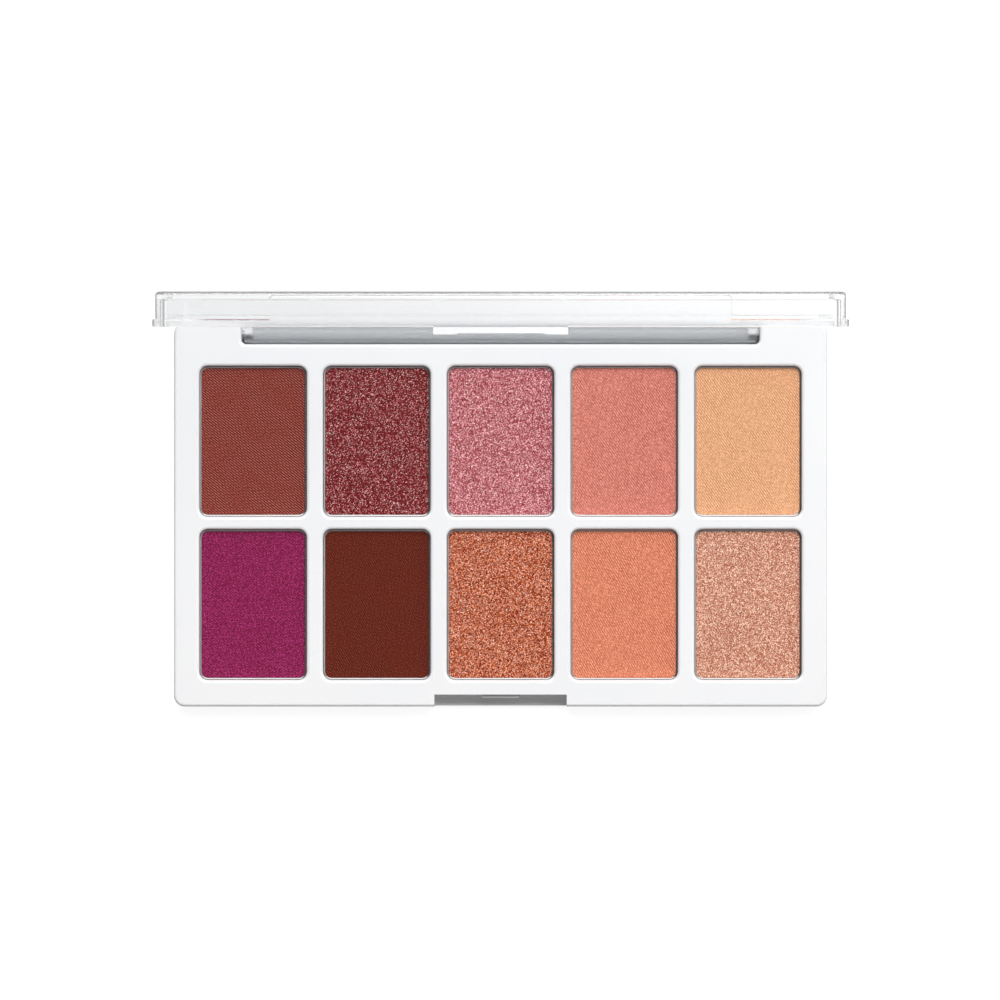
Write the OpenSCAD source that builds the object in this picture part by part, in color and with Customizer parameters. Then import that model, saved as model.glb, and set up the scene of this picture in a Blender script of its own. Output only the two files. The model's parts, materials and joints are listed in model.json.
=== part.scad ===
// Eyeshadow palette: a white base with ten pans of pressed powder and a clear hinged lid.
// The origin is the middle of the underside. +X is right, +Y is the hinge side, +Z is up.

/* [Pans] */
// Outside width of a pan, left to right
pan_w = 18.5; // [14:0.1:24]
// Outside length of a pan, front to back
pan_l = 26.05; // [16:0.05:34]
// Height of a pan
pan_h = 3.6; // [3:0.1:6]
// Sheet thickness of a pan
pan_t = 0.2; // [0.15:0.05:0.4]
// Outside radius of a pan's upright corners
pan_corner_r = 1.35; // [1.1:0.05:3]
// Outside radius where a pan's wall turns into its bottom
pan_press_r = 0.5; // [0.45:0.05:0.9]
// How far the powder's surface lies below the pan's rim
powder_drop = 0.1; // [0:0.05:0.5]
// Rounding of the powder's upper edge
powder_edge_r = 0.15; // [0.05:0.05:0.3]

/* [Base] */
// Thickness of the floor under the pans
floor_t = 1.5; // [1:0.1:3]
// How far the pans' rims lie below the deck
pan_recess = 1.2; // [0.8:0.1:2]
// Gap between a pan and the wall of its well
well_gap = 0.1; // [0.05:0.05:0.3]
// Rounding of the deck's edge round each well and round the hinge slot
well_edge_r = 0.55; // [0.3:0.05:0.8]
// Flat of the rib between two columns of wells
rib_x = 1.8; // [1:0.1:4]
// Flat of the rib between the two rows of wells
rib_y = 1.15; // [0.8:0.05:4]
// Flat of the deck outside the first and the last column
side_margin = 3.9; // [2.5:0.1:8]
// Flat of the deck in front of the wells
front_margin = 4.1; // [3.2:0.1:8]
// Flat of the deck between the wells and the hinge slot
back_margin = 2.75; // [1:0.05:8]
// Radius of the base's upright corners
corner_r = 1.9; // [1.7:0.1:3]
// Rounding of the base's outer edges
edge_r = 0.5; // [0.3:0.05:0.7]

/* [Glue] */
// Radius of the dot of glue under each pan
glue_r = 4; // [2:0.5:7]
// Thickness of the dot of glue
glue_t = 0.2; // [0.1:0.05:0.4]

/* [Hinge] */
// Radius of the lid's knuckle
knuckle_r = 1.55; // [1.3:0.05:1.8]
// How deep the knuckle lies inside the deck and inside the back face
knuckle_cover = 0.35; // [0.3:0.05:0.6]
// Gap between the knuckle and the slot's front wall and floor
knuckle_gap = 0.3; // [0.25:0.05:0.5]
// Gap between each end of the knuckle and the end of the slot
knuckle_end_gap = 0.5; // [0.3:0.1:1.5]
// Width of the solid cheek at each end of the slot
cheek_w = 11.8; // [8:0.1:20]
// Radius of the slot's two front corners
slot_corner_r = 0.8; // [0.5:0.1:1.5]
// Radius of a hinge pin
pin_r = 0.6; // [0.4:0.05:0.7]
// Radial clearance of a pin in the knuckle
pin_clearance = 0.05; // [0.02:0.01:0.1]
// Length of a pin inside the knuckle
pin_reach = 1.2; // [0.8:0.1:6]
// How far a pin's outer end lies inside the side of the base
pin_inset = 0.4; // [0:0.1:1]
// Free depth past the end of a pin in the knuckle
pin_end_room = 0.2; // [0.1:0.05:1]

/* [Front latch] */
// Width of the finger notch in the base
notch_w = 23.1; // [16:0.1:40]
// Depth of the finger notch, front to back
notch_d = 2.1; // [1.8:0.1:2.6]
// Width of the flat lip in front of the scoop
lip_w = 0.4; // [0.2:0.1:0.8]
// Height of the flat lip above the underside
lip_z = 1.7; // [1:0.1:3]
// Height of the upright wall above the scoop
notch_wall_h = 1; // [0.6:0.1:2]
// Width of the catch on the notch's wall
catch_w = 6.7; // [4:0.1:12]
// How far the catch stands out
catch_p = 0.6; // [0.3:0.05:0.8]
// Height of the catch
catch_h = 1; // [0.5:0.1:1.5]
// How far the catch lies below the deck
catch_drop = 1.2; // [1:0.1:2]
// Radius of the catch's front corners
catch_corner_r = 0.4; // [0.2:0.05:0.5]
// Gap between the catch and the lid's tab
latch_gap = 0.1; // [0.05:0.05:0.2]

/* [Lid] */
// Angle that the lid stands open at, counted from closed
open_angle = 87.5; // [60:0.5:90]
// Height of the lid, from its rim to its outer face
lid_depth = 5.8; // [5:0.1:9]
// Thickness of the lid's panel
panel_t = 1.2; // [0.8:0.1:1.8]
// Thickness of the lid's walls
wall_t = 1.05; // [0.8:0.05:1.2]
// Rounding of the lid's outer edge
lid_edge_r = 0.6; // [0.3:0.05:0.9]
// Inside radius of the lid's upright corners
lid_inner_r = 1.2; // [0.6:0.1:2.5]
// Fillet where the lid's walls meet its panel
lid_fillet_r = 0.3; // [0.1:0.05:0.5]
// Gap between the lid's rim and the deck, and between the open rim and the back face
lid_gap = 0.1; // [0.05:0.05:0.2]
// Height of the bead round the rim
bead_h = 1.3; // [0.8:0.1:2]
// How far the bead stands out
bead_p = 0.5; // [0.3:0.05:0.7]
// Rounding of the bead's edges
bead_edge_r = 0.25; // [0.1:0.05:0.3]
// Width of the flat grip area on the front wall
grip_w = 75.6; // [40:0.1:85]
// How far the grip area stops short of the outer face
grip_drop = 0.6; // [0.6:0.1:2]
// Radius of the grip area's two upper corners
grip_corner_r = 0.6; // [0.3:0.1:1]
// Gap between each end of the tab and the end of the notch
tab_side_gap = 0.55; // [0.3:0.05:1]
// How far the tab's end blocks reach below the rim
tab_drop = 1.2; // [0.8:0.05:1.5]
// Width of each end block of the tab
tab_block_w = 3.8; // [2:0.1:6]
// How much shorter the tab's scooped middle is
tab_step = 0.2; // [0.1:0.05:0.4]
// Depth of the scoop in the tab's outer face
tab_scoop = 0.45; // [0.2:0.05:0.7]
// How much the tab's inner face leans outwards, so that it leads over the catch
tab_lead = 0.25; // [0.1:0.05:0.35]

/* [Hidden] */
$fn = 64;
columns = 5;
rows = 2;
past = 1;          // how far a cutter runs past the face it opens
relief_gap = 0.12; // room between the lid's relief and the base's swinging edge

// Wells and the base's outline
well_w = pan_w + 2 * well_gap;
well_l = pan_l + 2 * well_gap;
well_corner_r = pan_corner_r + well_gap;
pitch_x = well_w + 2 * well_edge_r + rib_x;
pitch_y = well_l + 2 * well_edge_r + rib_y;
grid_w = columns * pitch_x - rib_x;
grid_l = rows * pitch_y - rib_y;
base_w = grid_w + 2 * side_margin;
axis_inset = knuckle_r + knuckle_cover;
slot_d = axis_inset + knuckle_r + knuckle_gap;
base_d = front_margin + grid_l + back_margin + well_edge_r + slot_d;
base_h = floor_t + glue_t + pan_h + pan_recess;
grid_y = (front_margin - back_margin - well_edge_r - slot_d) / 2;
pan_z = floor_t + glue_t;
powder_z = pan_z + pan_t;
powder_top = pan_z + pan_h - powder_drop;

// Hinge: the axis lies as far from the back face as from the deck
axis_y = base_d / 2 - axis_inset;
axis_z = base_h - axis_inset;
slot_w = base_w - 2 * cheek_w;
slot_z = axis_z - knuckle_r - knuckle_gap;
knuckle_w = slot_w - 2 * knuckle_end_gap;
bore_r = pin_r + pin_clearance;
pin_out = base_w / 2 - pin_inset;
pin_in = knuckle_w / 2 - pin_reach;
edge_reach = sqrt(2) * (axis_inset - edge_r) + edge_r; // the base's back edge, from the axis
relief_r = edge_reach + relief_gap;

// Lid, in its closed place
rim_z = base_h + lid_gap;
lid_top = rim_z + lid_depth;
lid_w = base_w - 2 * bead_p;
lid_d = base_d - 2 * bead_p;
lid_corner_r = corner_r - bead_p;
front_y = -base_d / 2;
notch_y = front_y + notch_d;
catch_y = notch_y - catch_p;
grip_l = lid_depth - grip_drop - bead_edge_r;  // from the bead's flat to the grip area's top
grip_mid_z = rim_z + bead_edge_r + grip_l / 2;
tab_w = notch_w - 2 * tab_side_gap;
tab_t = notch_d - catch_p - latch_gap;
tab_mid_w = tab_w - 2 * tab_block_w;
tab_scoop_r = (pow(tab_mid_w / 2, 2) + pow(tab_scoop, 2)) / (2 * tab_scoop);

shades = ["brick", "burgundy", "rose", "salmon", "apricot",
          "plum", "cocoa", "copper", "coral", "champagne"];
shade_colors = ["brown", "maroon", "rosybrown", "darksalmon", "navajowhite",
                "mediumvioletred", "saddlebrown", "peru", "lightsalmon", "tan"];
wells = [for (row = [0 : rows - 1], column = [0 : columns - 1])
    [(column - (columns - 1) / 2) * pitch_x, grid_y + ((rows - 1) / 2 - row) * pitch_y]];
pan_names = [for (i = [1 : len(wells)]) str("pan_", i)];
powder_names = [for (shade = shades) str("powder_", shade)];

// Carries the child outline (x = radius, y = height) round a rectangle of corner centres
// at +-cx, +-cy, and fills the middle from low to high.
module carried_round(cx, cy, low, high) {
    translate([-cx, -cy, low]) cube([2 * cx, 2 * cy, high - low]);
    for (side = [0, 1]) {
        mirror([side, 0, 0]) translate([cx, cy, 0]) rotate([90, 0, 0])
            linear_extrude(2 * cy) children();
        mirror([0, side, 0]) translate([-cx, cy, 0]) rotate([90, 0, 90])
            linear_extrude(2 * cx) children();
        for (end = [0, 1]) mirror([side, 0, 0]) mirror([0, end, 0])
            translate([cx, cy, 0]) rotate_extrude(angle = 90) children();
    }
}

// Half outline of a block: r wide, from low to high, its outer corners rounded
module block_outline(r, low, high, low_r, high_r) {
    difference() {
        translate([0, low]) square([r, high - low]);
        if (high_r > 0) difference() {
            translate([r - high_r, high - high_r]) square(high_r + past);
            translate([r - high_r, high - high_r]) circle(high_r);
        }
        if (low_r > 0) difference() {
            translate([r - low_r, low - past]) square([low_r + past, low_r + past]);
            translate([r - low_r, low + low_r]) circle(low_r);
        }
    }
}

// Block of w by l with upright corners of radius r
module block(w, l, r, low, high, low_r = 0, high_r = 0) {
    carried_round(w / 2 - r, l / 2 - r, low, high) block_outline(r, low, high, low_r, high_r);
}

// Cutter for a pocket whose upper edge is left rounded where it meets the surface at top
module pocket(w, l, r, floor, top, lip_r) {
    carried_round(w / 2 - r, l / 2 - r, floor, top + past) {
        translate([0, floor]) square([r, top + past - floor]);
        difference() {
            translate([0, top - lip_r]) square([r + lip_r, lip_r + past]);
            translate([r + lip_r, top - lip_r]) circle(lip_r);
        }
    }
}

// Lays an outline drawn as (y, z) across the part, centred on x = 0
module across(w) {
    translate([-w / 2, 0, 0]) rotate([90, 0, 90]) linear_extrude(w) children();
}

// Cylinder along x from x = from to x = to, on the hinge axis
module on_axis(r, from, to) {
    translate([from, axis_y, axis_z]) rotate([0, 90, 0]) cylinder(r = r, h = to - from);
}

// Outline of the finger notch: an upright wall, a scoop below it and a flat lip in front
module notch_outline() {
    scoop_top = base_h - notch_wall_h;
    run = notch_d - lip_w;
    fall = scoop_top - lip_z;
    scoop_r = (run * run + fall * fall) / (2 * run);
    translate([notch_y - notch_d - past, scoop_top])
        square([notch_d + past, notch_wall_h + past]);
    intersection() {
        translate([notch_y - scoop_r, scoop_top]) circle(scoop_r, $fn = 128);
        translate([notch_y - notch_d - past, lip_z]) square([notch_d + past, fall]);
    }
    translate([notch_y - notch_d - past, lip_z]) square([past + lip_w / 2, fall]);
}

// Catch that the lid's tab snaps over, seen from above
module catch_outline() {
    translate([-catch_w / 2, catch_y + catch_corner_r])
        square([catch_w, catch_p - catch_corner_r + past / 2]);
    translate([-catch_w / 2 + catch_corner_r, catch_y])
        square([catch_w - 2 * catch_corner_r, catch_p]);
    for (side = [-1, 1])
        translate([side * (catch_w / 2 - catch_corner_r), catch_y + catch_corner_r])
            circle(catch_corner_r);
}

module base() {
    color("white") {
        difference() {
            block(base_w, base_d, corner_r, 0, base_h, edge_r, edge_r);
            for (well = wells) translate([well[0], well[1], 0])
                pocket(well_w, well_l, well_corner_r, floor_t, base_h, well_edge_r);
            translate([0, base_d / 2, 0])
                pocket(slot_w, 2 * slot_d, slot_corner_r, slot_z, base_h, well_edge_r);
            across(notch_w) notch_outline();
            for (side = [-1, 1])
                on_axis(pin_r, side > 0 ? slot_w / 2 - past : -base_w / 2 - past,
                        side > 0 ? base_w / 2 + past : -slot_w / 2 + past);
        }
        translate([0, 0, base_h - catch_drop - catch_h])
            linear_extrude(catch_h) catch_outline();
    }
}

module pan(place) {
    color("silver") translate([place[0], place[1], 0]) difference() {
        block(pan_w, pan_l, pan_corner_r, pan_z, pan_z + pan_h, pan_press_r);
        block(pan_w - 2 * pan_t, pan_l - 2 * pan_t, pan_corner_r - pan_t,
              powder_z, pan_z + pan_h + past, pan_press_r - pan_t);
    }
}

module powder(place, shade_color) {
    color(shade_color) translate([place[0], place[1], 0])
        block(pan_w - 2 * pan_t, pan_l - 2 * pan_t, pan_corner_r - pan_t,
              powder_z, powder_top, pan_press_r - pan_t, powder_edge_r);
}

module pan_glue() {
    color("ivory") for (well = wells) translate([well[0], well[1], floor_t])
        cylinder(r = glue_r, h = glue_t);
}

// Pin on the right; the left one is its mirror image
module hinge_pin() {
    color("gray") on_axis(pin_r, pin_in, pin_out);
}

// Slice that leans the tab's inner face, drawn as (y, z)
module tab_lead_outline() {
    inner_y = front_y + tab_t;
    low = rim_z - tab_drop - past;
    polygon([[inner_y, rim_z], [inner_y + past, rim_z], [inner_y + past, low],
             [inner_y - tab_lead * (tab_drop + past) / tab_drop, low]]);
}

module lid_tab() {
    difference() {
        union() {
            translate([-tab_w / 2, front_y, rim_z - tab_drop + tab_step])
                cube([tab_w, tab_t, tab_drop - tab_step + bead_h / 2]);
            for (side = [0, 1]) mirror([side, 0, 0])
                translate([tab_mid_w / 2, front_y, rim_z - tab_drop])
                    cube([tab_block_w, tab_t, tab_drop]);
        }
        translate([0, front_y + tab_scoop - tab_scoop_r, rim_z - tab_drop - past])
            cylinder(r = tab_scoop_r, h = tab_drop + past, $fn = 360);
        across(tab_w + 2 * past) tab_lead_outline();
    }
}

module lid_closed() {
    difference() {
        union() {
            block(lid_w, lid_d, lid_corner_r, rim_z, lid_top, 0, lid_edge_r);
            block(base_w, base_d, corner_r, rim_z, rim_z + bead_h, bead_edge_r, bead_edge_r);
            translate([0, front_y, grip_mid_z]) rotate([90, 0, 0])
                block(grip_w, grip_l, grip_corner_r, -bead_p - wall_t / 2, 0, 0, bead_edge_r);
        }
        block(lid_w - 2 * wall_t, lid_d - 2 * wall_t, lid_inner_r,
              rim_z - past, lid_top - panel_t, 0, lid_fillet_r);
        for (side = [0, 1]) mirror([side, 0, 0])
            on_axis(relief_r, knuckle_w / 2, base_w / 2 + past);
    }
    lid_tab();
    difference() {
        union() {
            on_axis(knuckle_r, -knuckle_w / 2, knuckle_w / 2);
            translate([-knuckle_w / 2, lid_d / 2 - wall_t, axis_z])
                cube([knuckle_w, wall_t, rim_z - axis_z + bead_h / 2]);
        }
        for (side = [0, 1]) mirror([side, 0, 0])
            on_axis(bore_r, pin_in - pin_end_room, knuckle_w / 2 + past);
    }
}

module lid() {
    color("lightcyan", 0.4) translate([0, axis_y, axis_z]) rotate([-open_angle, 0, 0])
        translate([0, -axis_y, -axis_z]) lid_closed();
}

base();
lid();
hinge_pin();  // hinge_pin_right
mirror([1, 0, 0]) hinge_pin();  // hinge_pin_left
pan_glue();
for (i = [0 : len(wells) - 1]) {
    pan(wells[i]);
    powder(wells[i], shade_colors[i]);
}
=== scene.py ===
# Eyeshadow palette: finishes for the moulded parts, ten pressed powders, camera and studio.
import json
import math

import bmesh
import bpy
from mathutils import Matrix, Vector


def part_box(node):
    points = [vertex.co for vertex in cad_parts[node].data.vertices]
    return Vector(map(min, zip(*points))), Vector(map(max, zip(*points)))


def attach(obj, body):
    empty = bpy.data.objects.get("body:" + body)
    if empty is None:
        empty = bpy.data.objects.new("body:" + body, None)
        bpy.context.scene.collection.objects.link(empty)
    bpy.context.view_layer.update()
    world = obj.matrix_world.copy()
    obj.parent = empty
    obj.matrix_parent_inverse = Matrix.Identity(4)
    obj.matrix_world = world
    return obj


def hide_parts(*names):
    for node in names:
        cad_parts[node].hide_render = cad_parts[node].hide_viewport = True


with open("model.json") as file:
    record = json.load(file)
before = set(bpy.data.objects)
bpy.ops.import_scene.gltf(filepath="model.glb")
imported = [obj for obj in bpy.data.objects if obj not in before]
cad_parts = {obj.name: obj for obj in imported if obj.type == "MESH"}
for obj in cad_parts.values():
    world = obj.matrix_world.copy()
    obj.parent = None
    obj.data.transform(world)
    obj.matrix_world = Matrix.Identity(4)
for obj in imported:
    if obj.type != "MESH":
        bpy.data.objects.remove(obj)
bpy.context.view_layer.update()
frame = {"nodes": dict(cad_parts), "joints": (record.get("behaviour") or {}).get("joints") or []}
nodes = frame["nodes"]
mm = 0.001


# Node helpers, for shader trees and geometry trees alike

def put(tree, socket, value):
    if isinstance(value, bpy.types.NodeSocket):
        tree.links.new(value, socket)
    else:
        socket.default_value = value


def add(tree, kind, inputs=None, **settings):
    node = tree.nodes.new(kind)
    for name, value in settings.items():
        setattr(node, name, value)
    for name, value in (inputs or {}).items():
        put(tree, node.inputs[name], value)
    return node


def maths(tree, operation, *values):
    node = add(tree, "ShaderNodeMath", operation=operation)
    for socket, value in zip(node.inputs, values):
        put(tree, socket, value)
    return node.outputs[0]


def product(tree, *values):
    total = values[0]
    for value in values[1:]:
        total = maths(tree, "MULTIPLY", total, value)
    return total


def vectors(tree, operation, *values):
    node = add(tree, "ShaderNodeVectorMath", operation=operation)
    for socket, value in zip(node.inputs, values):
        put(tree, socket, value)
    return node.outputs["Value" if operation == "LENGTH" else "Vector"]


def remap(tree, value, fromLow, fromHigh, toLow, toHigh, smooth=False):
    node = add(tree, "ShaderNodeMapRange", clamp=True,
               interpolation_type="SMOOTHSTEP" if smooth else "LINEAR")
    for socket, given in zip(node.inputs, (value, fromLow, fromHigh, toLow, toHigh)):
        put(tree, socket, given)
    return node.outputs[0]


def noise(tree, at, size, detail=2.0, roughness=0.5):
    # size is the width of one blob, in metres
    node = add(tree, "ShaderNodeTexNoise",
               {"Vector": at, "Scale": 1 / size, "Detail": detail, "Roughness": roughness})
    return node.outputs[0]


def mixColour(tree, share, first, second):
    return add(tree, "ShaderNodeMix", {0: share, 6: first, 7: second}, data_type="RGBA").outputs[2]


def mixValue(tree, share, first, second):
    return add(tree, "ShaderNodeMix", {0: share, 2: first, 3: second}).outputs[0]


def newGroup(name, kind, inputs, outputs):
    # inputs are (name, socket type, default), outputs are (name, socket type)
    tree = bpy.data.node_groups.new(name, kind)
    for socketName, socketType, default in inputs:
        socket = tree.interface.new_socket(socketName, in_out="INPUT", socket_type=socketType)
        if default is not None:
            socket.default_value = default
    for socketName, socketType in outputs:
        tree.interface.new_socket(socketName, in_out="OUTPUT", socket_type=socketType)
    given = tree.nodes.new("NodeGroupInput").outputs
    result = tree.nodes.new("NodeGroupOutput").inputs
    return tree, given, result


def layOut(tree, step=190):
    # columns by distance from the output, so that the tree reads from left to right
    depth = {node.name: 0 for node in tree.nodes}
    for turn in range(len(tree.nodes)):
        moved = False
        for link in tree.links:
            wanted = depth[link.to_node.name] + 1
            if depth[link.from_node.name] < wanted <= len(tree.nodes):
                depth[link.from_node.name] = wanted
                moved = True
        if not moved:
            break
    rows = {}
    for node in tree.nodes:
        column = depth[node.name]
        rows[column] = rows.get(column, 0) + 1
        node.location = (-step * column, -step * rows[column])


def newMaterial(name):
    material = bpy.data.materials.new(name)
    material.use_nodes = True
    tree = material.node_tree
    shader = tree.nodes["Principled BSDF"]
    return material, tree, shader


def place(tree):
    return tree.nodes.new("ShaderNodeTexCoord").outputs["Object"]


def useGroup(tree, group, values):
    node = tree.nodes.new("ShaderNodeGroup")
    node.node_tree = group
    for name, value in values.items():
        put(tree, node.inputs[name], value)
    return node.outputs


def bump(tree, height, distance):
    return add(tree, "ShaderNodeBump", {"Height": height, "Distance": distance}).outputs[0]


floatIn, colourIn, vectorIn = "NodeSocketFloat", "NodeSocketColor", "NodeSocketVector"


# Moulded plastic: a faint skin, slow flow marks and a few fine rubs

skinPattern = {
    "rubTurn": math.radians(24), "rubStretch": (130.0, 2600.0, 2600.0),
    "rubFrom": (0.66, 0.74), "rubDepth": 0.6,
    "rubPatch": 9 * mm, "rubPatchFrom": (0.45, 0.65),
}


def buildMouldedSkin():
    tree, given, result = newGroup(
        "mouldedSkin", "ShaderNodeTree",
        [("Vector", vectorIn, None), ("Skin Size", floatIn, 0.0004),
         ("Flow Size", floatIn, 0.02), ("Rub Share", floatIn, 0.3)],
        [("Height", floatIn), ("Flow", floatIn), ("Rubs", floatIn)])
    at = given["Vector"]
    fine = add(tree, "ShaderNodeTexNoise",
               {"Vector": at, "Scale": maths(tree, "DIVIDE", 1.0, given["Skin Size"]),
                "Detail": 3.0, "Roughness": 0.55}).outputs[0]
    flow = add(tree, "ShaderNodeTexNoise",
               {"Vector": at, "Scale": maths(tree, "DIVIDE", 1.0, given["Flow Size"]),
                "Detail": 2.0, "Roughness": 0.45, "Distortion": 0.6}).outputs[0]
    turned = add(tree, "ShaderNodeMapping",
                 {"Vector": at, "Rotation": (0.0, 0.0, skinPattern["rubTurn"]),
                  "Scale": skinPattern["rubStretch"]}).outputs[0]
    scratch = add(tree, "ShaderNodeTexNoise",
                  {"Vector": turned, "Scale": 1.0, "Detail": 2.0, "Roughness": 0.4}).outputs[0]
    thin = remap(tree, scratch, *skinPattern["rubFrom"], 0.0, 1.0)
    patch = remap(tree, noise(tree, at, skinPattern["rubPatch"]), *skinPattern["rubPatchFrom"],
                  0.0, 1.0, smooth=True)
    rubs = product(tree, thin, patch, given["Rub Share"])
    put(tree, result["Height"],
        maths(tree, "SUBTRACT", fine, product(tree, rubs, skinPattern["rubDepth"])))
    put(tree, result["Flow"], flow)
    put(tree, result["Rubs"], rubs)
    layOut(tree)
    return tree


mouldedSkin = buildMouldedSkin()


# The pans stand in even rows, so a place in the palette folds back to a place in one pan

def panCentre(number):
    # and half the pan's size each way
    low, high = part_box("pan_%d" % number)
    return (low + high) / 2, (high - low) / 2


def panSides(tree, x, y):
    # how far a point lies past the right side and past the front of its own pan
    middle, half = panCentre(3)
    pitchX = panCentre(4)[0].x - middle.x
    pitchY = middle.y - panCentre(8)[0].y
    localX, localY = (
        maths(tree, "WRAP", maths(tree, "SUBTRACT", value, centre), pitch / 2, -pitch / 2)
        for value, centre, pitch in ((x, middle.x, pitchX), (y, middle.y, pitchY)))
    return (maths(tree, "SUBTRACT", localX, half.x),
            maths(tree, "SUBTRACT", product(tree, localY, -1.0), half.y))


whiteShell = {
    "colour": (0.875, 0.875, 0.88, 1),
    "shade": (0.845, 0.847, 0.858, 1),   # where the melt flowed last
    "roughness": (0.26, 0.36), "refraction": 1.49, "coat": 0.12,
    "skinSize": 0.35 * mm, "skinDepth": 0.0025 * mm, "flowSize": 28 * mm, "rubs": 0.25,
    # painted shade in the front of the hinge groove, below the deck, where the slot lies in shade
    "groove": (29.6 * mm, 29.7 * mm, 30.1 * mm, 31.6 * mm), "grooveTop": (5.3 * mm, 6.1 * mm),
    "groovePaintedShade": (0.27, 0.275, 0.29, 1),
    # painted shade between each pan and the right wall of its well, where the wall's shadow falls
    "gap": (-0.5 * mm, 0.0), "gapTop": (5.4 * mm, 5.6 * mm), "gapReach": 0.2 * mm,
    "gapPaintedShade": (0.03, 0.025, 0.025, 1),
}


def makeWhitePlastic():
    material, tree, shader = newMaterial("whitePlastic")
    at = place(tree)
    skin = useGroup(tree, mouldedSkin, {
        "Vector": at, "Skin Size": whiteShell["skinSize"],
        "Flow Size": whiteShell["flowSize"], "Rub Share": whiteShell["rubs"]})
    shell = mixColour(tree, remap(tree, skin["Flow"], 0.35, 0.65, 0, 1, smooth=True),
                      whiteShell["colour"], whiteShell["shade"])
    x, y, z = add(tree, "ShaderNodeSeparateXYZ", {"Vector": at}).outputs
    # the painted gap shade stays inside the wells: not on the outer faces, nor on the underside
    toRight = panSides(tree, x, y)[0]
    low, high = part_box("pan_6")[0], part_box("pan_5")[1]
    reach = whiteShell["gapReach"]
    inside = maths(tree, "SUBTRACT", z, low.z + reach)
    for value, sign, limit in ((x, 1, low.x), (x, -1, high.x), (y, 1, low.y), (y, -1, high.y)):
        inside = maths(tree, "MINIMUM", inside,
                       product(tree, maths(tree, "SUBTRACT", value, limit), sign))
    # painted shade in the gap along the right wall of each well
    gapShade = product(tree, remap(tree, toRight, *whiteShell["gap"], 0.0, 1.0),
                     remap(tree, z, *whiteShell["gapTop"], 1.0, 0.0),
                     maths(tree, "GREATER_THAN", inside, -reach))
    shell = mixColour(tree, gapShade, shell, whiteShell["gapPaintedShade"])
    # painted shade: the front of the hinge groove is darkened below the deck
    start, full, fade, end = whiteShell["groove"]
    groove = product(tree, remap(tree, y, start, full, 0.0, 1.0),
                     remap(tree, y, fade, end, 1.0, 0.0),
                     remap(tree, z, *whiteShell["grooveTop"], 1.0, 0.0))
    put(tree, shader.inputs["Base Color"], mixColour(tree, groove, shell, whiteShell["groovePaintedShade"]))
    rough = remap(tree, skin["Flow"], 0.3, 0.7, *whiteShell["roughness"])
    put(tree, shader.inputs["Roughness"], maths(tree, "ADD", rough, skin["Rubs"]))
    put(tree, shader.inputs["Normal"], bump(tree, skin["Height"], whiteShell["skinDepth"]))
    shader.inputs["IOR"].default_value = whiteShell["refraction"]
    shader.inputs["Coat Weight"].default_value = whiteShell["coat"]
    layOut(tree)
    return material


clearLid = {
    "tint": (0.99, 0.992, 0.994, 1),
    "flowTint": (0.982, 0.986, 0.99, 1),
    "roughness": (0.01, 0.03), "refraction": 1.57,
    "skinSize": 1.6 * mm, "skinDepth": 0.0002 * mm, "flowSize": 22 * mm, "rubs": 0.12,
    "wallShade": (0.95, 0.955, 0.96, 1),  # what light keeps when it crosses a face of a wall
    # parts with a satin texture: the hinge barrel, and less of it on the bead, tab and grip
    "barrelReach": (1.65 * mm, 1.75 * mm),
    "barrelTint": (0.97, 0.972, 0.975, 1), "barrelShade": (0.56, 0.57, 0.58, 1),
    "barrelSatin": 0.5, "beadSatin": 0.12, "gripSatin": 0.1, "gripEndSatin": 0.22,
    # painted shade on the side of the barrel that faces the deck, the half that lies in shade
    "barrelPaintedShade": (0.17, 0.175, 0.185, 1), "paintedShadeFrom": (-1.3 * mm, -0.1 * mm),
    "edgePaintedShade": (0.2, 0.205, 0.21, 1),   # painted shade along the outer edges
    # places on the shut lid, as distances from the middle or from the table, and how far
    # each mask takes to fade out there
    "openAngle": math.radians(87.5),     # the lid stands open as far as this
    "tabTop": (6.5 * mm, 6.6 * mm), "beadTop": (7.95 * mm, 8.05 * mm), "beadStep": 0.5 * mm,
    "top": 12.4 * mm, "side": 56.5 * mm, "front": 33.0 * mm,
    "gripSide": (37.8 * mm, 38.0 * mm), "gripFront": (-0.3 * mm, -0.05 * mm),
    "gripEnd": 37.67 * mm, "gripEndHalf": (0.08 * mm, 0.16 * mm),
    "shadeTop": (0.4 * mm, 0.65 * mm), "shadeWall": (0.6 * mm, 0.8 * mm),
    "shadeSide": (0.2 * mm, 0.5 * mm), "shadeCorner": (1.4 * mm, 1.8 * mm),
}


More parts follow.
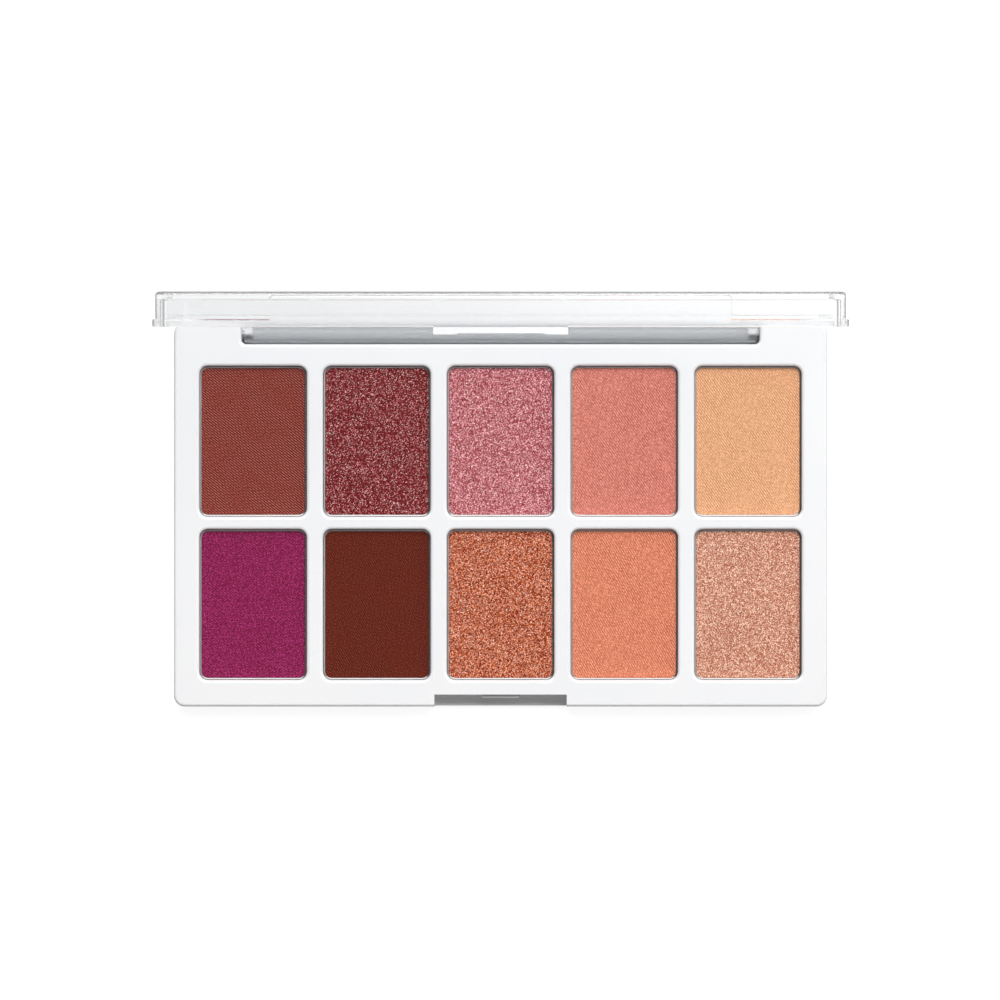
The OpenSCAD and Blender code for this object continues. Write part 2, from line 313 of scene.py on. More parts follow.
def makeClearPlastic():
    material, tree, shader = newMaterial("clearPlastic")
    at = place(tree)
    skin = useGroup(tree, mouldedSkin, {
        "Vector": at, "Skin Size": clearLid["skinSize"],
        "Flow Size": clearLid["flowSize"], "Rub Share": clearLid["rubs"]})
    hinge = frame["joints"][0]["pos_m"]
    axis = (0.0, hinge[1], hinge[2])
    offset = vectors(tree, "SUBTRACT", at, axis)
    fromAxis = vectors(tree, "LENGTH", vectors(tree, "MULTIPLY", offset, (0.0, 1.0, 1.0)))
    barrel = remap(tree, fromAxis, *clearLid["barrelReach"], 1.0, 0.0)
    # turned back to the shut place, height tells the bead and the tab from the walls
    shut = add(tree, "ShaderNodeVectorRotate",
               {"Vector": at, "Center": axis, "Angle": clearLid["openAngle"]},
               rotation_type="X_AXIS").outputs[0]
    x, y, z = add(tree, "ShaderNodeSeparateXYZ", {"Vector": shut}).outputs
    across = maths(tree, "ABSOLUTE", x)
    besideGrip = remap(tree, across, *clearLid["gripSide"], 0.0, 1.0)
    bead = product(tree, remap(tree, z, *clearLid["beadTop"], 1.0, 0.0), besideGrip)
    tab = remap(tree, z, *clearLid["tabTop"], 1.0, 0.0)
    behindFront = maths(tree, "ADD", y, clearLid["front"])
    standsOut = remap(tree, behindFront, *clearLid["gripFront"], 1.0, 0.0)
    fromEnd = maths(tree, "ABSOLUTE", maths(tree, "SUBTRACT", across, clearLid["gripEnd"]))
    gripEnd = product(tree, remap(tree, fromEnd, *clearLid["gripEndHalf"], 1.0, 0.0), standsOut)
    gripFace = product(tree, standsOut, maths(tree, "SUBTRACT", 1.0, besideGrip))
    satin = product(tree, maths(tree, "MAXIMUM", bead, tab), clearLid["beadSatin"])
    for mask, depth in ((barrel, "barrelSatin"), (gripFace, "gripSatin"), (gripEnd, "gripEndSatin")):
        satin = maths(tree, "MAXIMUM", satin, product(tree, mask, clearLid[depth]))
    # painted shade: the edge round the top and the upright corners of the front, darkened as the clear
    # edges look dark
    beadStep = product(tree, bead, clearLid["beadStep"])
    insideSide = maths(tree, "SUBTRACT", maths(tree, "ADD", beadStep, clearLid["side"]), across)
    insideWalls = maths(tree, "MINIMUM", behindFront, insideSide)
    belowTop = maths(tree, "SUBTRACT", clearLid["top"], z)
    topEdge = product(tree, remap(tree, belowTop, *clearLid["shadeTop"], 1.0, 0.0),
                      remap(tree, insideWalls, *clearLid["shadeWall"], 1.0, 0.0))
    corner = product(tree, remap(tree, insideSide, *clearLid["shadeSide"], 1.0, 0.0),
                     remap(tree, behindFront, *clearLid["shadeCorner"], 1.0, 0.0))
    clear = mixColour(tree, remap(tree, skin["Flow"], 0.3, 0.7, 0, 1, smooth=True),
                      clearLid["tint"], clearLid["flowTint"])
    # painted shade on the top edge and the front corners
    clear = mixColour(tree, maths(tree, "MAXIMUM", topEdge, corner), clear, clearLid["edgePaintedShade"])
    # painted shade: the barrel darkens towards its side that faces the deck
    behindAxis = add(tree, "ShaderNodeSeparateXYZ", {"Vector": offset}).outputs[1]
    shadedBarrel = mixColour(tree, remap(tree, behindAxis, *clearLid["paintedShadeFrom"], 1.0, 0.0, smooth=True),
                      clearLid["barrelTint"], clearLid["barrelPaintedShade"])
    put(tree, shader.inputs["Base Color"], mixColour(tree, barrel, clear, shadedBarrel))
    polish = maths(tree, "ADD", remap(tree, skin["Flow"], 0.3, 0.7, *clearLid["roughness"]),
                   skin["Rubs"])
    put(tree, shader.inputs["Roughness"], maths(tree, "MAXIMUM", polish, satin))
    put(tree, shader.inputs["Normal"], bump(tree, skin["Height"], clearLid["skinDepth"]))
    shader.inputs["IOR"].default_value = clearLid["refraction"]
    shader.inputs["Transmission Weight"].default_value = 1.0
    # light on its way to other pieces passes the clear walls instead of being stopped by them
    through = add(tree, "ShaderNodeBsdfTransparent", {
        "Color": mixColour(tree, barrel, clearLid["wallShade"], clearLid["barrelShade"])})
    rays = tree.nodes.new("ShaderNodeLightPath").outputs
    surface = shader.outputs[0]
    for kind in ("Is Shadow Ray", "Is Diffuse Ray"):
        blend = add(tree, "ShaderNodeMixShader", {"Fac": rays[kind]})
        tree.links.new(surface, blend.inputs[1])
        tree.links.new(through.outputs[0], blend.inputs[2])
        surface = blend.outputs[0]
    tree.links.new(surface, tree.nodes["Material Output"].inputs["Surface"])
    layOut(tree)
    return material


# Drawn sheet and wire: fine lines along one direction and a few dull patches

def buildDrawnMetal():
    tree, given, result = newGroup(
        "drawnMetal", "ShaderNodeTree",
        [("Vector", vectorIn, None), ("Stretch", vectorIn, (400.0, 9000.0, 9000.0)),
         ("Patch Size", floatIn, 0.004)],
        [("Lines", floatIn), ("Patches", floatIn)])
    stretched = vectors(tree, "MULTIPLY", given["Vector"], given["Stretch"])
    lines = add(tree, "ShaderNodeTexNoise",
                {"Vector": stretched, "Scale": 1.0, "Detail": 4.0, "Roughness": 0.6}).outputs[0]
    patches = add(tree, "ShaderNodeTexNoise",
                  {"Vector": given["Vector"],
                   "Scale": maths(tree, "DIVIDE", 1.0, given["Patch Size"]),
                   "Detail": 3.0, "Roughness": 0.6}).outputs[0]
    put(tree, result["Lines"], lines)
    put(tree, result["Patches"], patches)
    layOut(tree)
    return tree


drawnMetal = buildDrawnMetal()

metals = {
    "panMetal": {"bright": (0.86, 0.865, 0.87, 1), "dull": (0.7, 0.705, 0.715, 1),
                 "roughness": (0.2, 0.42), "stretch": (700.0, 9000.0, 2500.0),
                 "depth": 0.004 * mm, "patch": 3 * mm,
                 # powder dust and painted shade dull the rims: painted shadow on the right ones, and
                 # lighter on the front ones as painted light
                 "rimDustAndShade": {"tint": (0.26, 0.25, 0.245, 1), "rightPaintedShadow": (0.03, 0.025, 0.025, 1),
                          "thin": (0.62, 0.61, 0.605, 1), "cover": 0.92, "roughens": 0.35,
                          "height": (4.9 * mm, 5.1 * mm), "side": (-0.6 * mm, -0.25 * mm)}},
    "pinSteel": {"bright": (0.6, 0.6, 0.61, 1), "dull": (0.42, 0.42, 0.43, 1),
                 "roughness": (0.24, 0.45), "stretch": (300.0, 7000.0, 7000.0),
                 "depth": 0.003 * mm, "patch": 3 * mm},
}


def dustAndShadeRims(tree, at, rimDustAndShade, sheet, polish):
    x, y, z = add(tree, "ShaderNodeSeparateXYZ", {"Vector": at}).outputs
    toRight, toFront = panSides(tree, x, y)
    # painted light on the front rims and painted shadow on the right rims, over the dust and shade of
    # the rims
    tint = mixColour(tree, remap(tree, toFront, *rimDustAndShade["side"], 0.0, 1.0), rimDustAndShade["tint"], rimDustAndShade["thin"])
    tint = mixColour(tree, remap(tree, toRight, *rimDustAndShade["side"], 0.0, 1.0), tint, rimDustAndShade["rightPaintedShadow"])
    cover = remap(tree, z, *rimDustAndShade["height"], 0.0, rimDustAndShade["cover"])
    return (mixColour(tree, cover, sheet, tint),
            maths(tree, "ADD", polish, product(tree, cover, rimDustAndShade["roughens"])))


def makeMetal(name):
    look = metals[name]
    material, tree, shader = newMaterial(name)
    at = place(tree)
    metal = useGroup(tree, drawnMetal, {"Vector": at, "Stretch": look["stretch"],
                                        "Patch Size": look["patch"]})
    sheet = mixColour(tree, remap(tree, metal["Patches"], 0.35, 0.7, 0, 1),
                      look["bright"], look["dull"])
    polish = remap(tree, metal["Lines"], 0.3, 0.7, *look["roughness"])
    if "rimDustAndShade" in look:
        sheet, polish = dustAndShadeRims(tree, at, look["rimDustAndShade"], sheet, polish)
    put(tree, shader.inputs["Base Color"], sheet)
    put(tree, shader.inputs["Roughness"], polish)
    put(tree, shader.inputs["Normal"], bump(tree, metal["Lines"], look["depth"]))
    shader.inputs["Metallic"].default_value = 1.0
    layOut(tree)
    return material


glueLook = {
    "clear": (0.82, 0.76, 0.6, 1), "cloudy": (0.9, 0.87, 0.78, 1), "clouds": 1.8 * mm,
    "roughness": (0.25, 0.5), "ripples": 0.9 * mm, "rippleDepth": 0.02 * mm,
    "soft": 0.2, "softReach": 0.5 * mm,
}


def makeGlue():
    material, tree, shader = newMaterial("hotGlue")
    at = place(tree)
    clouds = noise(tree, at, glueLook["clouds"], 4.0)
    ripple = add(tree, "ShaderNodeTexVoronoi", {"Vector": at, "Scale": 1 / glueLook["ripples"]},
                 feature="SMOOTH_F1").outputs["Distance"]
    put(tree, shader.inputs["Base Color"],
        mixColour(tree, remap(tree, clouds, 0.35, 0.65, 0, 1), glueLook["clear"], glueLook["cloudy"]))
    put(tree, shader.inputs["Roughness"], remap(tree, clouds, 0.3, 0.7, *glueLook["roughness"]))
    put(tree, shader.inputs["Normal"], bump(tree, ripple, glueLook["rippleDepth"]))
    shader.inputs["Subsurface Weight"].default_value = glueLook["soft"]
    shader.inputs["Subsurface Scale"].default_value = glueLook["softReach"]
    layOut(tree)
    return material


def dress(nodeName, material):
    slots = nodes[nodeName].data.materials
    slots.clear()
    slots.append(material)


dress("base", makeWhitePlastic())
dress("lid", makeClearPlastic())
panMetal, pinSteel = makeMetal("panMetal"), makeMetal("pinSteel")
for nodeName in nodes:
    if nodeName.startswith("pan_") and nodeName != "pan_glue":
        dress(nodeName, panMetal)
    elif nodeName.startswith("hinge_pin"):
        dress(nodeName, pinSteel)
dress("pan_glue", makeGlue())
print("moulded, metal and glue finishes done")


# Pressed pigment: cloth imprint in the colour, fine grain, and pearl flakes where a shade has them

pressCloth = {
    "ribs": 0.75, "threads": 0.25,       # share of each in the imprint
    "threadPitch": 0.42, "stagger": 0.5,  # in ribs
    "patch": 5 * mm, "patchFrom": (0.35, 0.62), "shallow": 0.3,
}


def clothImprint(tree, at, pitch, angle):
    # ribs of the press cloth with threads crossing them, deeper in some patches than in others
    cosine, sine = (maths(tree, operation, angle) for operation in ("COSINE", "SINE"))
    x, y, z = add(tree, "ShaderNodeSeparateXYZ", {"Vector": at}).outputs
    along = maths(tree, "DIVIDE", maths(tree, "ADD", product(tree, x, cosine),
                                        product(tree, y, sine)), pitch)
    acrossIt = maths(tree, "DIVIDE", maths(tree, "SUBTRACT", product(tree, y, cosine),
                                           product(tree, x, sine)), pitch)
    ribs = maths(tree, "COSINE", product(tree, along, math.tau))
    staggered = maths(tree, "ADD", product(tree, acrossIt, pressCloth["threadPitch"]),
                      product(tree, maths(tree, "ROUND", along), pressCloth["stagger"]))
    threads = maths(tree, "COSINE", product(tree, staggered, math.tau))
    cloth = maths(tree, "ADD", product(tree, ribs, pressCloth["ribs"]),
                  product(tree, threads, pressCloth["threads"]))
    patch = remap(tree, noise(tree, at, pressCloth["patch"]), *pressCloth["patchFrom"],
                  pressCloth["shallow"], 1.0, smooth=True)
    return product(tree, cloth, patch)


pigment = {
    "grainSize": 0.24 * mm, "flakeSize": 0.125 * mm, "depth": 0.016 * mm,
    "clouds": 5 * mm, "cloudDepth": 0.1,
    "weakest": 0.35,                     # how much the weakest flake changes the shade
    "spark": (0.95, 0.92, 0.9, 1),
    "sparkHue": 0.15, "sparkTint": 0.4,  # share of a chance hue and of the light flakes' colour
    "roughness": (0.72, 0.95), "flakeGloss": 0.45, "flakeMetal": 0.35,
    "imprintRise": 0.5, "specular": 0.25,
}


def buildPressedPigment():
    tree, given, result = newGroup(
        "pressedPigment", "ShaderNodeTree",
        [("Vector", vectorIn, None), ("Shade", colourIn, None), ("Deep", colourIn, None),
         ("Pale", colourIn, None), ("Flake Dark", colourIn, None), ("Flake Light", colourIn, None),
         ("Weave Pitch", floatIn, 0.00036), ("Weave Angle", floatIn, 0.0),
         ("Weave Share", floatIn, 0.5), ("Grain Size", floatIn, 0.0002),
         ("Grain Share", floatIn, 0.4), ("Flake Size", floatIn, 0.0002),
         ("Flake Share", floatIn, 0.0), ("Spark Share", floatIn, 0.0)],
        [("Color", colourIn), ("Roughness", floatIn), ("Metallic", floatIn), ("Height", floatIn)])
    at = given["Vector"]
    grain = add(tree, "ShaderNodeTexNoise",
                {"Vector": at, "Scale": maths(tree, "DIVIDE", 1.0, given["Grain Size"]),
                 "Detail": 3.0, "Roughness": 0.6}).outputs[0]
    imprint = clothImprint(tree, at, given["Weave Pitch"], given["Weave Angle"])
    speckle = product(tree, remap(tree, grain, 0.3, 0.7, -1.0, 1.0), given["Grain Share"])
    tone = maths(tree, "ADD", product(tree, imprint, given["Weave Share"]), speckle)
    body = mixColour(tree, remap(tree, tone, 0.0, -1.0, 0.0, 1.0), given["Shade"], given["Deep"])
    body = mixColour(tree, remap(tree, tone, 0.0, 1.0, 0.0, 1.0), body, given["Pale"])
    clouds = noise(tree, at, pigment["clouds"], 3.0)
    body = mixColour(tree, remap(tree, clouds, 0.35, 0.65, 0.0, pigment["cloudDepth"]), body,
                     given["Deep"])
    # each cell is one flake: its first random number says whether it lies dark, light or buried
    cells = add(tree, "ShaderNodeTexVoronoi",
                {"Vector": at, "Scale": maths(tree, "DIVIDE", 1.0, given["Flake Size"])})
    random = add(tree, "ShaderNodeSeparateColor", {"Color": cells.outputs["Color"]}).outputs
    strength = remap(tree, random["Blue"], 0.0, 1.0, pigment["weakest"], 1.0)
    half = product(tree, given["Flake Share"], 0.5)
    darkShare = product(tree, strength, maths(tree, "LESS_THAN", random["Red"], half))
    lightFrom = maths(tree, "SUBTRACT", 1.0, half)
    lightShare = product(tree, strength, maths(tree, "GREATER_THAN", random["Red"], lightFrom))
    spark = maths(tree, "GREATER_THAN", random["Green"],
                  maths(tree, "SUBTRACT", 1.0, given["Spark Share"]))
    sparkColour = mixColour(tree, pigment["sparkHue"], pigment["spark"], cells.outputs["Color"])
    sparkColour = mixColour(tree, pigment["sparkTint"], sparkColour, given["Flake Light"])
    flaked = mixColour(tree, darkShare, body, given["Flake Dark"])
    flaked = mixColour(tree, lightShare, flaked, given["Flake Light"])
    flaked = mixColour(tree, product(tree, spark, strength), flaked, sparkColour)
    shine = maths(tree, "MAXIMUM", lightShare, spark)
    rough = remap(tree, grain, 0.3, 0.7, *pigment["roughness"])
    put(tree, result["Color"], flaked)
    put(tree, result["Roughness"],
        maths(tree, "SUBTRACT", rough, product(tree, shine, pigment["flakeGloss"])))
    put(tree, result["Metallic"], product(tree, shine, pigment["flakeMetal"]))
    relief = maths(tree, "ADD", grain, product(tree, imprint, pigment["imprintRise"]))
    put(tree, result["Height"],
        maths(tree, "ADD", relief, product(tree, shine, random["Green"])))
    layOut(tree)
    return tree


pressedPigment = buildPressedPigment()


def stepped(swatch, steps):
    # an 8-bit colour, lighter or darker by so many steps, as the scene's linear values
    levels = [min(max(level + steps, 0), 255) / 255 for level in swatch]
    return tuple(level / 12.92 if level <= 0.04045 else ((level + 0.055) / 1.055) ** 2.4
                 for level in levels) + (1.0,)


# Shades in the order of their pans: matte ones have no flakes. Contrast, dark and light say how
# many steps of 255 the texture and the flakes leave the shade; the angle is the press cloth's.
matte = {"contrast": 44, "weave": 0.8, "grain": 0.8, "angle": 34,
         "dark": 0, "light": 0, "flakes": 0.0, "sparks": 0.0}
shimmer = {"contrast": 26, "weave": 0.7, "grain": 0.5, "angle": 34}
shades = {
    "brick": dict(matte, colour=(126, 49, 38), contrast=50, weave=1.7, angle=52),
    "burgundy": dict(shimmer, colour=(103, 9, 12), dark=40, light=122, flakes=0.31, sparks=0.07),
    "rose": dict(shimmer, colour=(165, 78, 84), dark=46, light=108, flakes=0.56, sparks=0.06),
    "salmon": dict(matte, colour=(207, 123, 108), contrast=42),
    "apricot": dict(matte, colour=(225, 165, 123), contrast=36, weave=1.1),
    "plum": dict(matte, colour=(131, 12, 72), contrast=54, weave=0.5, grain=1.2, angle=52),
    "cocoa": dict(matte, colour=(92, 23, 2), contrast=36, weave=0.7, grain=1.0, angle=31),
    "copper": dict(shimmer, colour=(160, 64, 28), dark=88, light=109, flakes=0.62, sparks=0.06),
    "coral": dict(matte, colour=(214, 128, 98), angle=30),
    "champagne": dict(shimmer, colour=(197, 127, 102), dark=74, light=95, flakes=0.58, sparks=0.015),
}


def makePowderMaterial(shadeName, centre, seed):
    look = shades[shadeName]
    material, tree, shader = newMaterial("powder_" + shadeName)
    shade, deep, pale, darkFlake, lightFlake = (
        stepped(look["colour"], steps) for steps in
        (0, -look["contrast"], look["contrast"], -look["dark"], look["light"]))
    # the pattern is counted from the pan's middle, as the pressed relief is
    local = add(tree, "ShaderNodeMapping",
                {"Vector": place(tree), "Location": (-centre[0], -centre[1], seed),
                 "Scale": (1.0, 1.0, 0.0)}).outputs[0]
    pressed = useGroup(tree, pressedPigment, {
        "Vector": local, "Shade": shade, "Deep": deep, "Pale": pale,
        "Flake Dark": darkFlake, "Flake Light": lightFlake,
        "Weave Pitch": powderForm["weavePitch"], "Weave Angle": math.radians(look["angle"]),
        "Weave Share": look["weave"], "Grain Size": pigment["grainSize"],
        "Grain Share": look["grain"], "Flake Size": pigment["flakeSize"],
        "Flake Share": look["flakes"], "Spark Share": look["sparks"]})
    put(tree, shader.inputs["Base Color"], pressed["Color"])
    put(tree, shader.inputs["Roughness"], pressed["Roughness"])
    put(tree, shader.inputs["Metallic"], pressed["Metallic"])
    put(tree, shader.inputs["Normal"], bump(tree, pressed["Height"], pigment["depth"]))
    shader.inputs["Specular IOR Level"].default_value = pigment["specular"]
    layOut(tree)
    return material


# Pressed powder: a fine grid with the press cloth's imprint, rounded into the pan's outline

powderForm = {
    "cell": 0.1 * mm,
    "corner": 1.15 * mm,                 # the pan's inside radius
    "edgeRounding": 0.15 * mm, "footRounding": 0.3 * mm, "roundSteps": 3,
    "weavePitch": 0.363 * mm, "weaveDepth": 0.016 * mm,
    # the edge is calm over this width, but for chips of this size
    "edge": 0.5 * mm, "chips": 0.8 * mm, "chipFrom": (0.5, 0.75), "crumble": 0.05 * mm,
    "seedStep": 0.013,
}


def buildPowderTree():
    tree, given, result = newGroup(
        "pressedPowder", "GeometryNodeTree",
        [("Centre", vectorIn, None), ("Width", floatIn, None), ("Length", floatIn, None),
         ("Corner Radius", floatIn, None), ("Top", floatIn, None), ("Bottom", floatIn, None),
         ("Edge Rounding", floatIn, None), ("Foot Rounding", floatIn, None),
         ("Cell", floatIn, None), ("Weave Pitch", floatIn, None), ("Weave Depth", floatIn, None),
         ("Weave Angle", floatIn, None), ("Crumble", floatIn, None),
         ("Seed", floatIn, None), ("Material", "NodeSocketMaterial", None)],
        [("Powder", "NodeSocketGeometry")])
    rounding = given["Edge Rounding"]

    def halfSide(name):
        return maths(tree, "SUBTRACT", maths(tree, "DIVIDE", given[name], 2.0), rounding)

    def count(half):
        cells = maths(tree, "DIVIDE", product(tree, half, 2.0), given["Cell"])
        return add(tree, "FunctionNodeFloatToInt", {0: maths(tree, "ADD", cells, 1.0)},
                   rounding_mode="ROUND").outputs[0]

    halfW, halfL = halfSide("Width"), halfSide("Length")
    innerR = maths(tree, "SUBTRACT", given["Corner Radius"], rounding)
    coreW = maths(tree, "SUBTRACT", halfW, innerR)
    coreL = maths(tree, "SUBTRACT", halfL, innerR)
    grid = add(tree, "GeometryNodeMeshGrid",
               {"Size X": product(tree, halfW, 2.0), "Size Y": product(tree, halfL, 2.0),
                "Vertices X": count(halfW), "Vertices Y": count(halfL)}).outputs["Mesh"]
    position = tree.nodes.new("GeometryNodeInputPosition").outputs[0]
    x, y, z = add(tree, "ShaderNodeSeparateXYZ", {"Vector": position}).outputs
    absX, absY = maths(tree, "ABSOLUTE", x), maths(tree, "ABSOLUTE", y)

    # corner squares of the grid bend into quarter discs
    def share(absolute, core):
        return maths(tree, "MAXIMUM",
                     maths(tree, "DIVIDE", maths(tree, "SUBTRACT", absolute, core), innerR), 0.0)

    def bent(value, own, other):
        halfSquare = maths(tree, "DIVIDE", product(tree, other, other), 2.0)
        keep = maths(tree, "SQRT", maths(tree, "SUBTRACT", 1.0, halfSquare))
        pull = product(tree, own, innerR, maths(tree, "SUBTRACT", 1.0, keep))
        return maths(tree, "SUBTRACT", value, product(tree, pull, maths(tree, "SIGN", value)))

    shareX, shareY = share(absX, coreW), share(absY, coreL)
    bentX, bentY = bent(x, shareX, shareY), bent(y, shareY, shareX)

    shifted = add(tree, "ShaderNodeCombineXYZ",
                  {"X": bentX, "Y": bentY, "Z": given["Seed"]}).outputs[0]
    cloth = clothImprint(tree, shifted, given["Weave Pitch"], given["Weave Angle"])
    inside = maths(tree, "MINIMUM", maths(tree, "SUBTRACT", halfW, absX),
                   maths(tree, "SUBTRACT", halfL, absY))
    clear = remap(tree, inside, 0.0, powderForm["edge"], 0.0, 1.0, smooth=True)
    relief = product(tree, cloth, product(tree, clear, given["Weave Depth"]))
    chips = remap(tree, noise(tree, shifted, powderForm["chips"], 3.0), *powderForm["chipFrom"],
                  0.0, 1.0)
    loss = product(tree, chips, given["Crumble"], maths(tree, "SUBTRACT", 1.0, clear))
    height = maths(tree, "ADD", given["Top"], maths(tree, "SUBTRACT", relief, loss))
    mesh = add(tree, "GeometryNodeSetPosition", {
        "Geometry": grid, "Position": add(tree, "ShaderNodeCombineXYZ", {
            "X": bentX, "Y": bentY, "Z": height}).outputs[0]}).outputs[0]

    # the rim is drawn outwards and down, ring by ring, round the core rectangle
    def clampTo(value, core):
        return maths(tree, "MAXIMUM", maths(tree, "MINIMUM", value, core),
                     product(tree, core, -1.0))

    core = add(tree, "ShaderNodeCombineXYZ",
               {"X": clampTo(x, coreW), "Y": clampTo(y, coreL)}).outputs[0]
    flat = add(tree, "ShaderNodeCombineXYZ", {"X": x, "Y": y}).outputs[0]
    outwards = vectors(tree, "NORMALIZE", vectors(tree, "SUBTRACT", flat, core))
    edge = add(tree, "GeometryNodeInputMeshEdgeNeighbors").outputs[0]
    rim = add(tree, "FunctionNodeCompare", {2: edge, 3: 1}, data_type="INT",
              operation="EQUAL").outputs[0]
    foot = given["Foot Rounding"]
    steps = powderForm["roundSteps"]
    turns = [math.pi / 2 * step / steps for step in range(steps + 1)]
    rings = [("SUBTRACT", "Top", rounding, 1 - math.sin(turn), 1 - math.cos(turn))
             for turn in turns[1:]]
    rings += [("ADD", "Bottom", foot, 1 - math.cos(turn), 1 - math.sin(turn)) for turn in turns]
    for operation, start, radius, inwards, along in rings:
        reach = maths(tree, "SUBTRACT", given["Corner Radius"], product(tree, radius, inwards))
        level = maths(tree, operation, given[start], product(tree, radius, along))
        drawn = add(tree, "GeometryNodeExtrudeMesh",
                    {"Mesh": mesh, "Selection": rim, "Offset Scale": 0.0}, mode="EDGES")
        target = vectors(tree, "ADD", core, vectors(tree, "MULTIPLY", outwards, reach))
        targetX, targetY = add(tree, "ShaderNodeSeparateXYZ", {"Vector": target}).outputs[:2]
        ring = add(tree, "ShaderNodeCombineXYZ", {"X": targetX, "Y": targetY, "Z": level})
        mesh = add(tree, "GeometryNodeSetPosition",
                   {"Geometry": drawn.outputs["Mesh"], "Selection": drawn.outputs["Top"],
                    "Position": ring.outputs[0]}).outputs[0]
        rim = drawn.outputs["Top"]
    mesh = add(tree, "GeometryNodeSetPosition", {"Geometry": mesh, "Offset": given["Centre"]})
    smooth = add(tree, "GeometryNodeSetShadeSmooth", {"Geometry": mesh.outputs[0]})
    whole = add(tree, "GeometryNodeRealizeInstances", {"Geometry": smooth.outputs[0]})
    coloured = add(tree, "GeometryNodeSetMaterial", {"Geometry": whole.outputs[0],
                                                     "Material": given["Material"]})
    put(tree, result["Powder"], coloured.outputs[0])
    layOut(tree)
    return tree


powderTree = buildPowderTree()
powderInputs = {item.name: item.identifier for item in powderTree.interface.items_tree
                if item.in_out == "INPUT"}


def plainMesh(maker, name):
    # what the modifiers make, as an object with a mesh of its own
    bpy.context.view_layer.update()
    ready = maker.evaluated_get(bpy.context.evaluated_depsgraph_get())
    mesh = bpy.data.meshes.new_from_object(ready)
    bpy.data.objects.remove(maker)
    mesh.name = name
    piece = bpy.data.objects.new(name, mesh)
    bpy.context.scene.collection.objects.link(piece)
    return piece


def pressPowder(shadeName, seed):
    nodeName = "powder_" + shadeName
    low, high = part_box(nodeName)
    maker = bpy.data.objects.new("maker", bpy.data.meshes.new("maker"))
    bpy.context.scene.collection.objects.link(maker)
    modifier = maker.modifiers.new("press", "NODES")
    modifier.node_group = powderTree
    centre = ((low.x + high.x) / 2, (low.y + high.y) / 2, 0.0)
    depth = powderForm["seedStep"] * seed
    values = {
        "Centre": centre,
        "Width": high.x - low.x, "Length": high.y - low.y, "Corner Radius": powderForm["corner"],
        "Top": high.z, "Bottom": low.z, "Edge Rounding": powderForm["edgeRounding"],
        "Foot Rounding": powderForm["footRounding"], "Cell": powderForm["cell"],
        "Weave Pitch": powderForm["weavePitch"], "Weave Depth": powderForm["weaveDepth"],
        "Weave Angle": math.radians(shades[shadeName]["angle"]),
        "Crumble": powderForm["crumble"], "Seed": depth,
        "Material": makePowderMaterial(shadeName, centre, depth)}
    for name, value in values.items():
        modifier[powderInputs[name]] = value
    piece = plainMesh(maker, "pressed_" + shadeName)
    shell = bmesh.new()
    shell.from_mesh(piece.data)
    bmesh.ops.holes_fill(shell, edges=[e for e in shell.edges if e.is_boundary])
    bmesh.ops.recalc_face_normals(shell, faces=shell.faces)
    for face in shell.faces:
        face.smooth = True
    shell.to_mesh(piece.data)
    shell.free()
    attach(piece, "base")
    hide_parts(nodeName)
    return piece


powders = [pressPowder(shadeName, seed) for seed, shadeName in enumerate(shades)]
print("powders pressed:", len(powders), "with", len(powders[0].data.polygons), "faces each")


# Camera straight above the middle of the base

view = {"place": (-0.0001, 0.00254, 0.9845), "sensor": 36.0, "lens": 201.8}


def makeCamera():
    data = bpy.data.cameras.new("camera")
    data.sensor_width = view["sensor"]
    data.lens = view["lens"]
    data.clip_start, data.clip_end = 0.01, 20
    camera = bpy.data.objects.new("camera", data)
    camera.location = view["place"]
    bpy.context.scene.collection.objects.link(camera)
    bpy.context.scene.camera = camera


# Studio: a large soft lamp above and behind, a weaker one from the right, a dim surround

studio = {
    "lamps": {
        "keyPanel": {"place": (0.12, 0.62, 1.05), "size": 0.8, "power": 16.4},
        "sidePanel": {"place": (1.0, 0.25, 0.75), "size": 0.6, "power": 2.7},
    },
    "surround": 0.18,                    # light on the object from all round
    "lean": (-0.3, 0.6),                 # how much of it leans to the right and to the back
    "openTop": (0.55, 0.95),             # height at which the white surround ends, and is gone
    "topGlow": (0.35, 0.25, 0.1),        # what shines through the open top: middle, right, back
    "floorColour": (0.3, 0.3, 0.3, 1), "floorFleck": (0.291, 0.291, 0.291, 1), "fleckSize": 6 * mm,
    "floorGlow": 0.9,                    # lifts the floor to white for the eye and for reflections
    "mirroredFloor": (0.72, 0.94),       # share of it that clear walls show, left and right
    "mirroredReach": 60 * mm,            # and how far out those places are
    "slantFrom": (0.08, 0.5), "slantGlow": 0.6,  # and what is left of it seen at a slant
    "floorSize": 3.0,
}


def mirroredRays(tree):
    # 1 for what gloss and clear walls show, 0 for the rays that light the object
    path = tree.nodes.new("ShaderNodeLightPath").outputs
    either = maths(tree, "MAXIMUM", path["Is Glossy Ray"], path["Is Transmission Ray"])
    return product(tree, either, maths(tree, "LESS_THAN", path["Diffuse Depth"], 0.5))


def cameraRays(tree):
    return tree.nodes.new("ShaderNodeLightPath").outputs["Is Camera Ray"]


def makeLamp(name, look):
    data = bpy.data.lights.new(name, "AREA")
    data.shape = "SQUARE"
    data.size = look["size"]
    data.energy = look["power"]
    lamp = bpy.data.objects.new(name, data)
    lamp.location = look["place"]
    lamp.rotation_euler = (-Vector(look["place"])).to_track_quat("-Z", "Y").to_euler()
    lamp.visible_transmission = False    # seen through clear walls it would only add specks
    bpy.context.scene.collection.objects.link(lamp)


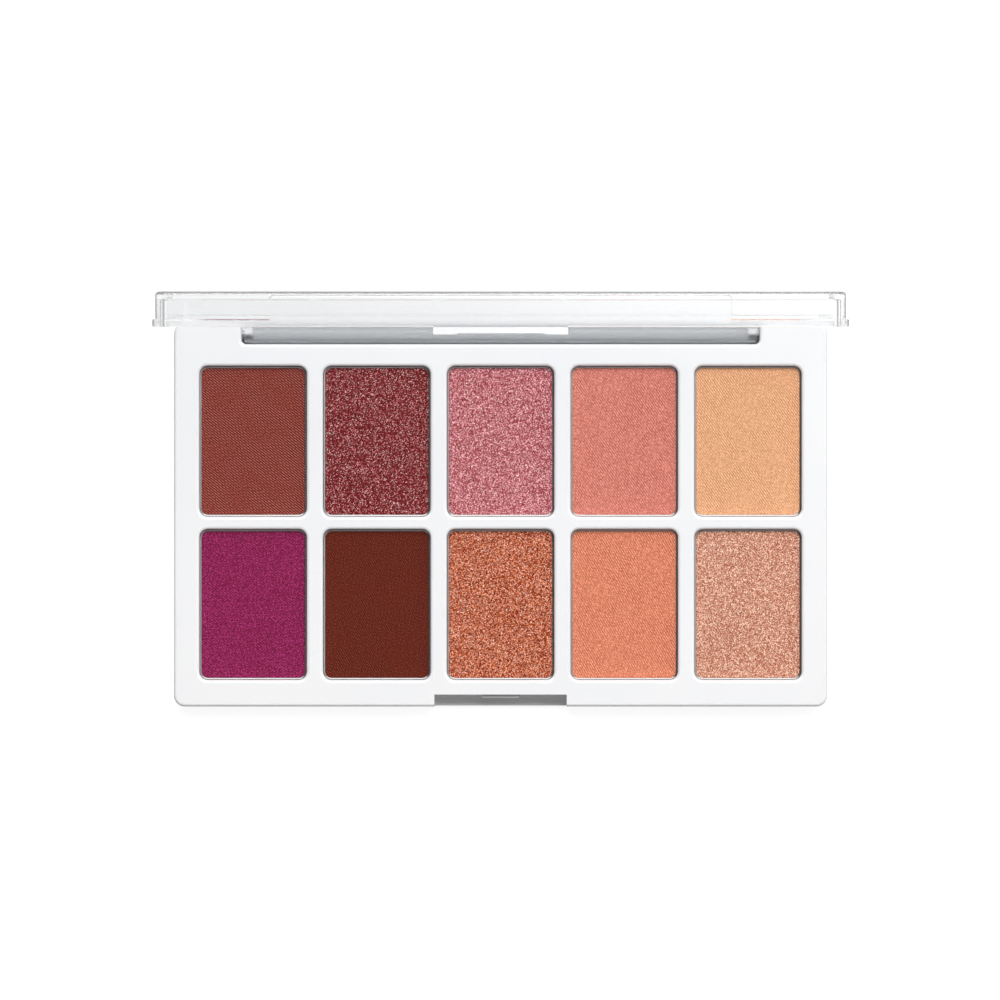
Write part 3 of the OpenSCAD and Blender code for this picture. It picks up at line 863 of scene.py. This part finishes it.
def makeWorld():
    world = bpy.data.worlds.new("studio")
    bpy.context.scene.world = world
    world.use_nodes = True
    tree = world.node_tree
    background = tree.nodes["Background"]
    background.inputs["Color"].default_value = (1, 1, 1, 1)
    way = tree.nodes.new("ShaderNodeTexCoord").outputs["Generated"]
    x, y, z = add(tree, "ShaderNodeSeparateXYZ", {"Vector": way}).outputs

    def leaning(level, right, back):
        lean = maths(tree, "ADD", product(tree, x, right), product(tree, y, back))
        return maths(tree, "ADD", level, lean)

    above = remap(tree, z, *studio["openTop"], 0, 1, smooth=True)
    reflected = mixValue(tree, above, 1.0, leaning(*studio["topGlow"]))
    light = product(tree, leaning(1.0, *studio["lean"]), studio["surround"])
    seen = mixValue(tree, mirroredRays(tree), light, reflected)
    put(tree, background.inputs["Strength"],
        maths(tree, "MAXIMUM", seen, cameraRays(tree)))
    layOut(tree)


def makeFloor():
    half = studio["floorSize"] / 2
    mesh = bpy.data.meshes.new("floor")
    mesh.from_pydata([(-half, -half, 0), (half, -half, 0), (half, half, 0), (-half, half, 0)],
                     [], [(0, 1, 2, 3)])
    floor = bpy.data.objects.new("floor", mesh)
    bpy.context.scene.collection.objects.link(floor)
    material, tree, shader = newMaterial("floorCard")
    at = place(tree)
    fleck = noise(tree, at, studio["fleckSize"], 3.0)
    put(tree, shader.inputs["Base Color"],
        mixColour(tree, remap(tree, fleck, 0.3, 0.7, 0, 1), studio["floorColour"],
                  studio["floorFleck"]))
    shader.inputs["Roughness"].default_value = 0.9
    shader.inputs["Specular IOR Level"].default_value = 0.0
    shader.inputs["Emission Color"].default_value = (1, 1, 1, 1)
    x = add(tree, "ShaderNodeSeparateXYZ", {"Vector": at}).outputs[0]
    reach = studio["mirroredReach"]
    slant = add(tree, "ShaderNodeLayerWeight", {"Blend": 0.5}).outputs["Facing"]
    mirrored = product(tree, mirroredRays(tree),
                       remap(tree, x, -reach, reach, *studio["mirroredFloor"], smooth=True),
                       remap(tree, slant, *studio["slantFrom"], 1.0, studio["slantGlow"], smooth=True))
    put(tree, shader.inputs["Emission Strength"],
        product(tree, maths(tree, "MAXIMUM", mirrored, cameraRays(tree)), studio["floorGlow"]))
    mesh.materials.append(material)
    layOut(tree)


makeCamera()
for lampName, lampLook in studio["lamps"].items():
    makeLamp(lampName, lampLook)
makeWorld()
makeFloor()
bpy.context.scene.view_settings.view_transform = "Standard"
bounces = bpy.context.scene.cycles       # light runs a long way inside the clear lid's edges
bounces.max_bounces = 160
bounces.glossy_bounces = 120
bounces.transmission_bounces = 120
print("camera and studio set")
